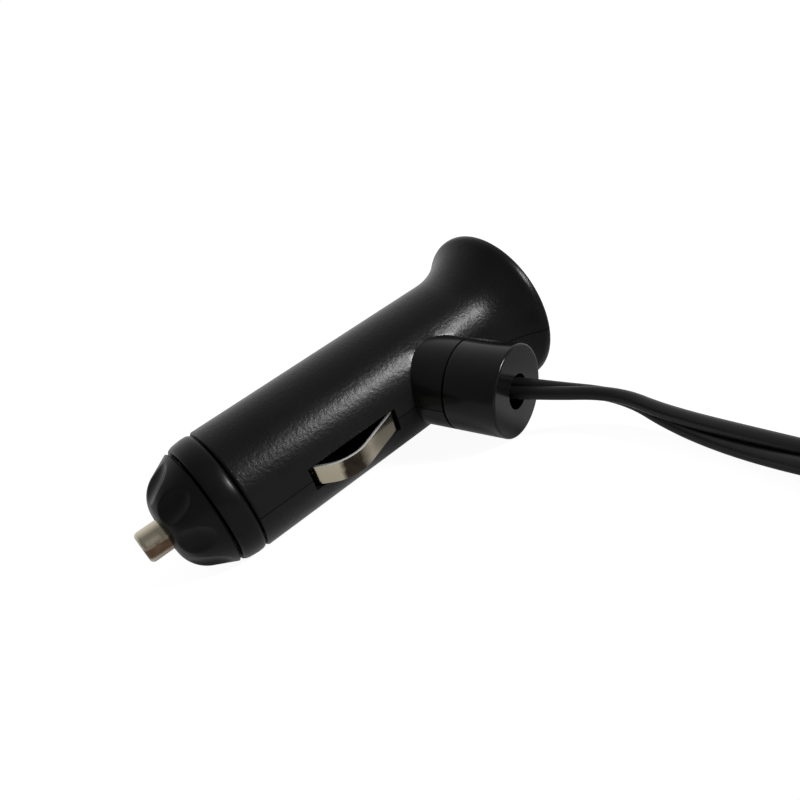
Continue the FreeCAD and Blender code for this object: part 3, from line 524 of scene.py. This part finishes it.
def select_alone(piece):
    """Leave any mesh and select one piece alone."""
    if bpy.context.mode != "OBJECT":
        bpy.ops.object.mode_set(mode="OBJECT")
    bpy.ops.object.select_all(action="DESELECT")
    piece.select_set(True)
    bpy.context.view_layer.objects.active = piece


def start_edit(piece):
    """Select one piece alone and go into its mesh with all of it selected."""
    select_alone(piece)
    bpy.ops.object.mode_set(mode="EDIT")
    bpy.ops.mesh.select_mode(type="VERT")
    bpy.ops.mesh.select_all(action="SELECT")


def pick(piece, kind, chosen):
    """Go into a piece's mesh with only the chosen faces or edges selected."""
    select_alone(piece)
    bpy.ops.object.mode_set(mode="EDIT")
    bpy.ops.mesh.select_mode(type=kind)
    bpy.ops.mesh.select_all(action="DESELECT")
    bpy.ops.object.mode_set(mode="OBJECT")
    for part in piece.data.polygons if kind == "FACE" else piece.data.edges:
        part.select = chosen(part)
    bpy.ops.object.mode_set(mode="EDIT")


def end_edit():
    """Close seams, turn the faces outwards and leave the mesh."""
    bpy.ops.mesh.select_all(action="SELECT")
    bpy.ops.mesh.remove_doubles(threshold=MERGE_DISTANCE)
    bpy.ops.mesh.normals_make_consistent(inside=False)
    bpy.ops.object.mode_set(mode="OBJECT")


def name_new(name):
    """Name the primitive that was just added and apply its place."""
    piece = bpy.context.object
    piece.name = name
    piece.data.name = name
    bpy.ops.object.transform_apply(location=True, rotation=True, scale=True)
    return piece


def apply_wall(piece, thickness, offset, edge):
    """Give an open sheet its wall, with its sharp edges rounded off."""
    wall = piece.modifiers.new("wall", "SOLIDIFY")
    wall.thickness = thickness
    wall.offset = offset
    rounding = piece.modifiers.new("edge", "BEVEL")
    rounding.width = edge
    rounding.segments = EDGE_STEPS
    rounding.limit_method = "ANGLE"
    rounding.angle_limit = SHARP_EDGE
    for modifier in ("wall", "edge"):
        bpy.ops.object.modifier_apply(modifier=modifier)


def turned_piece(name, profile, segments):
    """A piece turned about the plug's axis.

    A ring is drawn out through the profile's (station, radius) points and closed.
    """
    station, radius = profile[0]
    bpy.ops.object.select_all(action="DESELECT")
    bpy.ops.mesh.primitive_circle_add(vertices=segments, radius=radius, location=(station, 0, 0),
                                      rotation=(0, math.pi / 2, 0))
    piece = name_new(name)
    start_edit(piece)
    for (x0, r0), (x1, r1) in zip(profile, profile[1:] + profile[:1]):
        bpy.ops.mesh.extrude_region_move(TRANSFORM_OT_translate={"value": (x1 - x0, 0, 0)})
        bpy.ops.transform.resize(value=(1, r1 / r0, r1 / r0), center_override=(x1, 0, 0))
    end_edit()
    return piece


def lay_down(piece):
    """Put a piece that was made in the plug's own frame where the plug lies."""
    select_alone(piece)
    piece.matrix_world = LYING
    bpy.ops.object.transform_apply(location=True, rotation=True, scale=True)


def put_on(piece, body, slot, material, *replaced):
    """Hand a finished piece to its body and its material; the slot argument is not used."""
    piece.data.materials.clear()
    piece.data.materials.append(material)
    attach(piece, body)
    if replaced:
        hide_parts(*replaced)


def arc_points(start, end, heading, steps):
    """Points of the arc that leaves start along heading and ends at end, start left out."""
    chord = end - start
    across = Vector((-heading.y, heading.x))
    radius = chord.dot(chord) / (2 * chord.dot(across))
    centre = start + across * radius
    first, last = start - centre, end - centre
    sweep = first.angle_signed(last)
    return [centre + Matrix.Rotation(-sweep * k / steps, 2) @ first for k in range(1, steps + 1)]


def smooth_least(first, second, softness):
    """The smaller of two numbers, rounded over where they meet."""
    share = max(softness - abs(first - second), 0.0) / softness
    return min(first, second) - share * share * softness / 4


def stepped(turn, start):
    """How much of a step in the coil is done at a turn, from none to all."""
    return min(1.0, max(0.0, (turn - start) / STEP_TURNS))


class PLUG_OT_stage(bpy.types.Operator):
    """Camera, floor, background and window lamp"""
    bl_idname = "plug.stage"
    bl_label = "Stage"

    def execute(self, context):
        self.make_camera(context.scene)
        self.make_floor(context.scene.finishes)
        self.make_world(context.scene)
        self.make_window(context.scene)
        context.scene.view_settings.view_transform = "Standard"
        return {"FINISHED"}

    def make_camera(self, scene):
        camera = bpy.data.objects.new("camera", bpy.data.cameras.new("camera"))
        camera.data.sensor_width = 36.0
        camera.data.lens = CAMERA_LENS
        camera.data.clip_start = 0.005
        turn = Matrix(CAMERA_AXES).transposed().to_4x4()
        camera.matrix_world = Matrix.Translation(CAMERA_PLACE) @ turn
        scene.collection.objects.link(camera)
        scene.camera = camera

    def make_floor(self, colours):
        """Pale card that the camera sees as white."""
        bpy.ops.object.select_all(action="DESELECT")
        bpy.ops.mesh.primitive_plane_add(size=FLOOR_SIZE, location=(0, 0, 0))
        floor = bpy.context.object
        floor.name = "floor"
        finish = Finish("pale_floor")
        cloud = finish.noise(scale=3.0)
        shown = self.seen(finish, plain=0.0, direct=0.75, glossy=0.15)
        card = finish.node("ShaderNodeBsdfDiffuse", {}, {
            "Color": finish.shade(cloud, colours.floor_dark, colours.floor_light)})
        white = finish.node("ShaderNodeEmission", {}, {"Color": (1, 1, 1, 1), "Strength": 1.26})
        mixed = finish.node("ShaderNodeMixShader", {}, {0: shown, 1: card, 2: white})
        finish.node("ShaderNodeOutputMaterial", {}, {"Surface": mixed})
        floor.data.materials.append(finish.made)

    def seen(self, finish, plain, direct, glossy):
        """A plain part, and what the camera or a ray through glass, and a reflection, add to it."""
        rays = [finish.node("ShaderNodeLightPath", output=name)
                for name in ("Is Camera Ray", "Is Transmission Ray", "Is Glossy Ray")]
        return plain + direct * rays[0] + direct * rays[1] + glossy * rays[2]

    def make_world(self, scene):
        """White behind the plug and, in reflections, dimmer on the side that it is seen from."""
        finish = Finish("studio", "worlds")
        heading = finish.node("ShaderNodeTexCoord", output="Generated")
        facing = finish.vectors("DOT_PRODUCT", heading, VIEWING_SIDE, output="Value")
        dim = finish.ramp(0.5 + 0.5 * facing, (0.2, 0.0), (0.65, 1.0))
        strength = self.seen(finish, plain=0.4, direct=0.6, glossy=0.6 - 0.75 * dim)
        white = finish.node("ShaderNodeBackground", {},
                            {"Color": (1, 1, 1, 1), "Strength": strength})
        finish.node("ShaderNodeOutputWorld", {}, {"Surface": white})
        scene.world = finish.made

    def make_window(self, scene):
        lamp = bpy.data.objects.new("window", bpy.data.lights.new("window", "AREA"))
        lamp.data.shape = "RECTANGLE"
        lamp.data.size, lamp.data.size_y = WINDOW_SIZE
        lamp.data.energy = WINDOW_POWER
        lamp.location = WINDOW_PLACE
        towards = Vector(WINDOW_AIM) - Vector(WINDOW_PLACE)
        lamp.rotation_euler = towards.to_track_quat("-Z", "Y").to_euler()
        scene.collection.objects.link(lamp)


class PLUG_OT_tie(bpy.types.Operator):
    """Soft strap that holds the put-away coil, one end lapped over the other"""
    bl_idname = "plug.tie"
    bl_label = "Tie"

    def execute(self, context):
        sizes = context.scene.strap_sizes
        low, high = (Vector(corner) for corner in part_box("cord_tie"))
        lap = Vector((0.0, 0.0, sizes.lap))
        bpy.ops.object.select_all(action="DESELECT")
        bpy.ops.mesh.primitive_cube_add(size=1, location=(low + high - lap) / 2,
                                        scale=high - low - lap)
        strap = name_new("coil_strap")
        pick(strap, "FACE", lambda face: abs(face.normal.y) > OPEN_SIDE)
        bpy.ops.mesh.delete(type="FACE")
        bpy.ops.object.mode_set(mode="OBJECT")
        pick(strap, "EDGE", lambda edge: self.spans_width(strap, edge, high.y - low.y))
        bpy.ops.mesh.bevel(offset=sizes.corner, segments=CORNER_STEPS, affect="EDGES")
        bpy.ops.object.mode_set(mode="OBJECT")
        apply_wall(strap, sizes.thickness, -1.0, sizes.edge)
        under_lap = high.z - 2 * sizes.lap
        pick(strap, "FACE", lambda face: face.normal.z > FLAT_TOP and face.center.z > under_lap)
        bpy.ops.mesh.inset(thickness=sizes.step)
        bpy.ops.mesh.extrude_region_move(TRANSFORM_OT_translate={"value": lap})
        end_edit()
        bpy.ops.object.shade_smooth_by_angle(angle=FOLDED_CREASE)
        put_on(strap, "plug", "tie_plastic", woven_strap(context.scene.finishes), "cord_tie")
        return {"FINISHED"}

    def spans_width(self, strap, edge, width):
        """Whether an edge runs from one side of the strap to the other."""
        first, last = (strap.data.vertices[k].co for k in edge.vertices)
        return abs(first.y - last.y) > width / 2


class PLUG_OT_twin_lead(bpy.types.Operator):
    """Twin lead from the bush through its put-away coil to the in-line socket"""
    bl_idname = "plug.twin_lead"
    bl_label = "Twin lead"

    def execute(self, context):
        sizes = context.scene.lead_sizes
        sheath = soft_sheath("lead_sheath", context.scene.finishes.sheath, roughness=0.3)
        route = LEAD_ROUTE + self.coil_turns(sizes) + TAIL_ROUTE
        line = self.smooth_line(route)
        halves = [self.conductor(line, sizes, turn) for turn in (0.0, math.pi)]
        bpy.ops.object.select_all(action="DESELECT")
        for half in halves:
            half.select_set(True)
        context.view_layer.objects.active = halves[0]
        bpy.ops.object.convert(target="MESH")
        bpy.ops.object.join()
        lead = context.object
        lead.name = "twin_lead"
        start_edit(lead)
        end_edit()
        bpy.ops.object.shade_smooth()
        put_on(lead, "plug", "cord_sheath", sheath, "cord_lead", "cord_coil", "cord_tail")
        on_it = [bpy.data.objects["coil_strap"]]
        on_it += [nodes[name] for name in ("socket_shell", "socket_sleeve", "socket_disc",
                                           "socket_contact", "socket_relief")]
        return {"FINISHED"}

    def coil_turns(self, sizes):
        """Route points of three turns: outside, inside, then on top of both and out again."""
        points = []
        outer, inner = sizes.coil_outer, sizes.coil_inner
        middle = (outer + inner) / 2
        for k in range(1, COIL_TURNS * sizes.coil_points):
            turn = k / sizes.coil_points
            angle = -2 * math.pi * turn
            upwards = stepped(turn, UPWARDS_FROM)
            outwards = stepped(turn, OUTWARDS_FROM)
            radius = outer + (inner - outer) * stepped(turn, INWARDS_FROM)
            radius += (middle - inner) * upwards + (outer - middle) * outwards
            height = COIL_HEIGHT + COIL_RISE * upwards + COIL_LIFT * outwards
            points.append((COIL_CENTRE[0] + radius * math.cos(angle),
                           COIL_CENTRE[1] + radius * math.sin(angle), height))
        return points

    def smooth_line(self, route):
        """Points of the smooth curve that has the route's points as its control points."""
        curve = bpy.data.curves.new("lead_line", "CURVE")
        curve.dimensions = "3D"
        curve.resolution_u = LINE_STEPS
        spline = curve.splines.new("NURBS")
        spline.points.add(len(route) - 1)
        for point, place in zip(spline.points, route):
            point.co = (*place, 1.0)
        spline.order_u = 3
        spline.use_endpoint_u = True
        holder = bpy.data.objects.new("lead_line", curve)
        mesh = bpy.data.meshes.new_from_object(holder)
        line = [vertex.co.copy() for vertex in mesh.vertices]
        bpy.data.meshes.remove(mesh)
        bpy.data.objects.remove(holder)
        bpy.data.curves.remove(curve)
        return line

    def conductor(self, line, sizes, turn):
        """One round conductor that winds about the lead's middle line."""
        curve = bpy.data.curves.new("conductor", "CURVE")
        curve.dimensions = "3D"
        curve.bevel_depth = sizes.conductor_radius
        curve.bevel_resolution = CONDUCTOR_STEPS
        curve.use_fill_caps = True
        spline = curve.splines.new("POLY")
        spline.points.add(len(line) - 1)
        side = Vector((0, 0, 1))
        run = 0.0
        for k, place in enumerate(line):
            before, after = line[max(k - 1, 0)], line[min(k + 1, len(line) - 1)]
            along = (after - before).normalized()
            side = (side - along * side.dot(along)).normalized()
            across = along.cross(side)
            if k:
                run += (place - line[k - 1]).length
            angle = sizes.phase + turn + 2 * math.pi * run / sizes.twist
            offset = (side * math.cos(angle) + across * math.sin(angle)) * sizes.spread
            spline.points[k].co = (*(place + offset), 1.0)
        made = bpy.data.objects.new("conductor", curve)
        bpy.context.scene.collection.objects.link(made)
        return made


class PLUG_OT_nose_cap(bpy.types.Operator):
    """Screw nose cap with finger dimples round its slope"""
    bl_idname = "plug.nose_cap"
    bl_label = "Nose cap"

    def execute(self, context):
        sizes = context.scene.nose_cap_sizes
        plastic = smooth_black(context.scene.finishes)
        cap = turned_piece("dimpled_nose_cap", self.outline(sizes), sizes.segments)
        self.press_dimples(cap, sizes)
        select_alone(cap)
        bpy.ops.object.shade_smooth_by_angle(angle=TURNED_CREASE)
        lay_down(cap)
        put_on(cap, "nose_cap", "black_smooth_plastic", plastic, "nose_cap")
        return {"FINISHED"}

    def outline(self, sizes):
        """The cap's half section: along its slope and dome to the front, then back inside."""
        shoulder = Vector((sizes.shoulder, sizes.shoulder_radius))
        rim = Vector((sizes.rear - sizes.edge, sizes.radius))
        face = Vector((sizes.front, sizes.face_radius))
        slope = [rim.lerp(shoulder, k / SLOPE_STEPS) for k in range(SLOPE_STEPS + 1)]
        dome = arc_points(shoulder, face, (shoulder - rim).normalized(), DOME_STEPS)
        wall_end = sizes.front + sizes.wall
        bore_end = sizes.rear - sizes.thread_depth
        inside = [
            (sizes.front, sizes.hole_radius + sizes.hole_edge),
            (sizes.front + sizes.hole_edge, sizes.hole_radius),
            (wall_end, sizes.hole_radius),
            (wall_end, sizes.bore_radius),
            (bore_end, sizes.bore_radius),
            (bore_end, sizes.thread_radius),
            (sizes.rear, sizes.thread_radius),
            (sizes.rear, sizes.radius - sizes.edge),
        ]
        return [tuple(point) for point in slope + dome] + inside

    def press_dimples(self, cap, sizes):
        """Sink each dimple's bowl below the slope, with a rounded rim."""
        along = Vector((math.cos(DIMPLE_SLOPE), math.sin(DIMPLE_SLOPE)))
        step = 2 * math.pi / sizes.dimples
        outside = [vertex for vertex in cap.data.vertices if self.is_outside(vertex.co, sizes)]
        normals = [vertex.normal.copy() for vertex in outside]
        for vertex, normal in zip(outside, normals):
            radius = math.hypot(vertex.co.y, vertex.co.z)
            angle = math.atan2(vertex.co.z, vertex.co.y) - DIMPLE_START
            angle -= step * round(angle / step)
            length = (Vector((vertex.co.x, radius)) - DIMPLE_CENTRE).dot(along)
            width = radius * angle
            bowl = (length / sizes.dimple_length) ** 2 + (width / sizes.dimple_width) ** 2
            sunk = smooth_least(0.0, bowl - 1, sizes.dimple_rim)
            vertex.co += normal * sizes.dimple_depth * sunk

    def is_outside(self, place, sizes):
        """Whether a point lies on the cap's slope or dome, apart from their edges."""
        radius = math.hypot(place.y, place.z)
        if place.x > sizes.rear - sizes.edge * BEYOND:
            return False
        if place.x > sizes.rear - sizes.thread_depth * BEYOND:
            return radius > sizes.thread_radius * BEYOND
        if place.x > sizes.front + sizes.wall / 2:
            return radius > sizes.bore_radius * BEYOND
        return radius > sizes.face_radius * BEYOND


class PLUG_OT_collar(bpy.types.Operator):
    """Collar behind the nose cap, its outside slightly rounded"""
    bl_idname = "plug.collar"
    bl_label = "Collar"

    def execute(self, context):
        plastic = smooth_black(context.scene.finishes)
        collar = turned_piece("rounded_collar", COLLAR_RINGS, COLLAR_SEGMENTS)
        bpy.ops.object.shade_smooth_by_angle(angle=TURNED_CREASE)
        lay_down(collar)
        put_on(collar, "plug", "black_smooth_plastic", plastic, "front_collar")
        return {"FINISHED"}


class PLUG_OT_side_contacts(bpy.types.Operator):
    """Sprung leaves in the slots on both sides"""
    bl_idname = "plug.side_contacts"
    bl_label = "Side contacts"

    def execute(self, context):
        colours = context.scene.finishes
        plate = nickel_with_painted_reflection(colours)
        # The cut sides' near-white metal is partly bare sheared metal and partly a painted
        # highlight
        bright = bare_metal("sheared_edge_and_highlight", colours.sheared_edge_and_highlight, roughness=0.36)
        for name, side in (("near", -1.0), ("far", 1.0)):
            leaf = self.make_leaf(f"{name}_leaf", side, context.scene.side_contact_sizes)
            lay_down(leaf)
            put_on(leaf, f"side_contact_{name}", "nickel", plate, f"side_contact_{name}")
            leaf.data.materials.append(bright)
            for face in leaf.data.polygons:
                sheared = abs(face.normal.dot(PARTING_NORMAL)) > SHEARED_SIDE
                face.material_index = 1 if sheared else 0
        return {"FINISHED"}

    def make_leaf(self, name, side, sizes):
        """A strip drawn out through the leaf's corners, bent at each and given its thickness."""
        foot, apex = sizes.foot_bend, sizes.apex_bend
        start = (LEAF_CORNERS[0][0], side * LEAF_CORNERS[0][1], 0)
        bpy.ops.object.select_all(action="DESELECT")
        bpy.ops.mesh.primitive_plane_add(size=sizes.width, location=start)
        leaf = name_new(name)
        start_edit(leaf)
        bpy.ops.transform.resize(value=(0, 1, 1), center_override=start)
        bpy.ops.transform.rotate(value=math.pi / 2, orient_axis="X", center_override=start)
        bpy.ops.mesh.remove_doubles(threshold=MERGE_DISTANCE)
        for (x0, y0), (x1, y1) in zip(LEAF_CORNERS, LEAF_CORNERS[1:]):
            bpy.ops.mesh.extrude_region_move(TRANSFORM_OT_translate={
                "value": (x1 - x0, side * (y1 - y0), 0)})
        bpy.ops.object.mode_set(mode="OBJECT")
        corners = [Vector(corner) for corner in LEAF_CORNERS]
        bends = (foot, foot, apex, foot, foot)
        for before, corner, after, bend in zip(corners, corners[1:], corners[2:], bends):
            self.round_corner(leaf, before, corner, after, bend, side)
        apply_wall(leaf, sizes.thickness, 0.0, sizes.edge)
        start_edit(leaf)
        end_edit()
        bpy.ops.object.shade_smooth_by_angle(angle=FOLDED_CREASE)
        return leaf

    def round_corner(self, leaf, before, corner, after, bend, side):
        """Bevel the fold at one corner of the strip to its bend radius."""
        turn = (corner - before).angle(after - corner)
        fold = Vector((corner.x, side * corner.y))
        places = leaf.data.vertices
        pick(leaf, "EDGE", lambda edge: all((places[k].co.xy - fold).length < ON_FOLD
                                            for k in edge.vertices))
        bpy.ops.mesh.bevel(offset=bend * math.tan(turn / 2), segments=BEND_STEPS, affect="EDGES")
        bpy.ops.object.mode_set(mode="OBJECT")


class PLUG_OT_spring(bpy.types.Operator):
    """Spring behind the fuse, copied from the part's spring and smoothed"""
    bl_idname = "plug.spring"
    bl_label = "Spring"

    def execute(self, context):
        steel = bare_metal("spring_wire", context.scene.finishes.spring_steel, roughness=0.3)
        spring = bpy.data.objects.new("pressed_spring", nodes["contact_spring"].data.copy())
        context.scene.collection.objects.link(spring)
        start_edit(spring)
        end_edit()
        bpy.ops.object.shade_smooth_by_angle(angle=FOLDED_CREASE)
        put_on(spring, "plug", "spring_steel", steel, "contact_spring")
        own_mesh(spring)
        return {"FINISHED"}


class PLUG_OT_finishes(bpy.types.Operator):
    """Materials of the pieces whose solids show as they are"""
    bl_idname = "plug.finishes"
    bl_label = "Finishes"

    def execute(self, context):
        colours = context.scene.finishes
        self.paint(satin_black(colours), "housing_upper", "housing_lower", "socket_shell")
        self.paint(gloss_black(colours), "cord_bush")
        self.paint(nickel_with_painted_low_reflection(colours), "centre_contact")
        self.paint(nickel(colours), "socket_sleeve")
        self.paint(bare_metal("worked_brass", colours.brass, roughness=0.28),
                   "rear_terminal", "socket_contact", "fuse_cap_front", "fuse_cap_rear")
        self.paint(bare_metal("tinned_wire", colours.tinned_wire, roughness=0.3), "fuse_wire")
        self.paint(clear_glass(colours), "fuse_glass")
        self.paint(soft_sheath("red_insulation", colours.red_insulation, roughness=0.4),
                   "live_lead")
        self.paint(soft_sheath("black_insulation", colours.sheath, roughness=0.45),
                   "earth_lead", "link_wire", "socket_relief")
        self.paint(soft_sheath("brown_board", colours.brown_board, roughness=0.6), "socket_disc")
        return {"FINISHED"}

    def paint(self, material, *names):
        for name in names:
            nodes[name].data.materials.clear()
            nodes[name].data.materials.append(material)


class PLUG_PT_sidebar(bpy.types.Panel):
    """Lists the plug's pieces"""
    bl_idname = "PLUG_PT_sidebar"
    bl_label = "Lighter plug"
    bl_space_type = "VIEW_3D"
    bl_region_type = "UI"
    bl_category = "Lighter plug"

    def draw(self, context):
        for operator in OPERATORS:
            self.layout.operator(operator.bl_idname)


GROUPS = {
    "nose_cap_sizes": NoseCapSizes,
    "side_contact_sizes": SideContactSizes,
    "lead_sizes": LeadSizes,
    "strap_sizes": StrapSizes,
    "finishes": Finishes,
}
OPERATORS = (PLUG_OT_stage, PLUG_OT_tie, PLUG_OT_twin_lead, PLUG_OT_nose_cap, PLUG_OT_collar,
             PLUG_OT_side_contacts, PLUG_OT_spring, PLUG_OT_finishes)
CLASSES = (*GROUPS.values(), *OPERATORS, PLUG_PT_sidebar)


def register():
    for kind in CLASSES:
        bpy.utils.register_class(kind)
    for name, group in GROUPS.items():
        setattr(bpy.types.Scene, name, PointerProperty(type=group))


def unregister():
    for name in GROUPS:
        delattr(bpy.types.Scene, name)
    for kind in reversed(CLASSES):
        bpy.utils.unregister_class(kind)


def main():
    register()
    bpy.ops.plug.stage()
    bpy.ops.plug.tie()
    bpy.ops.plug.twin_lead()
    bpy.ops.plug.nose_cap()
    bpy.ops.plug.collar()
    bpy.ops.plug.side_contacts()
    bpy.ops.plug.spring()
    bpy.ops.plug.finishes()


if __name__ == "__main__":
    main()
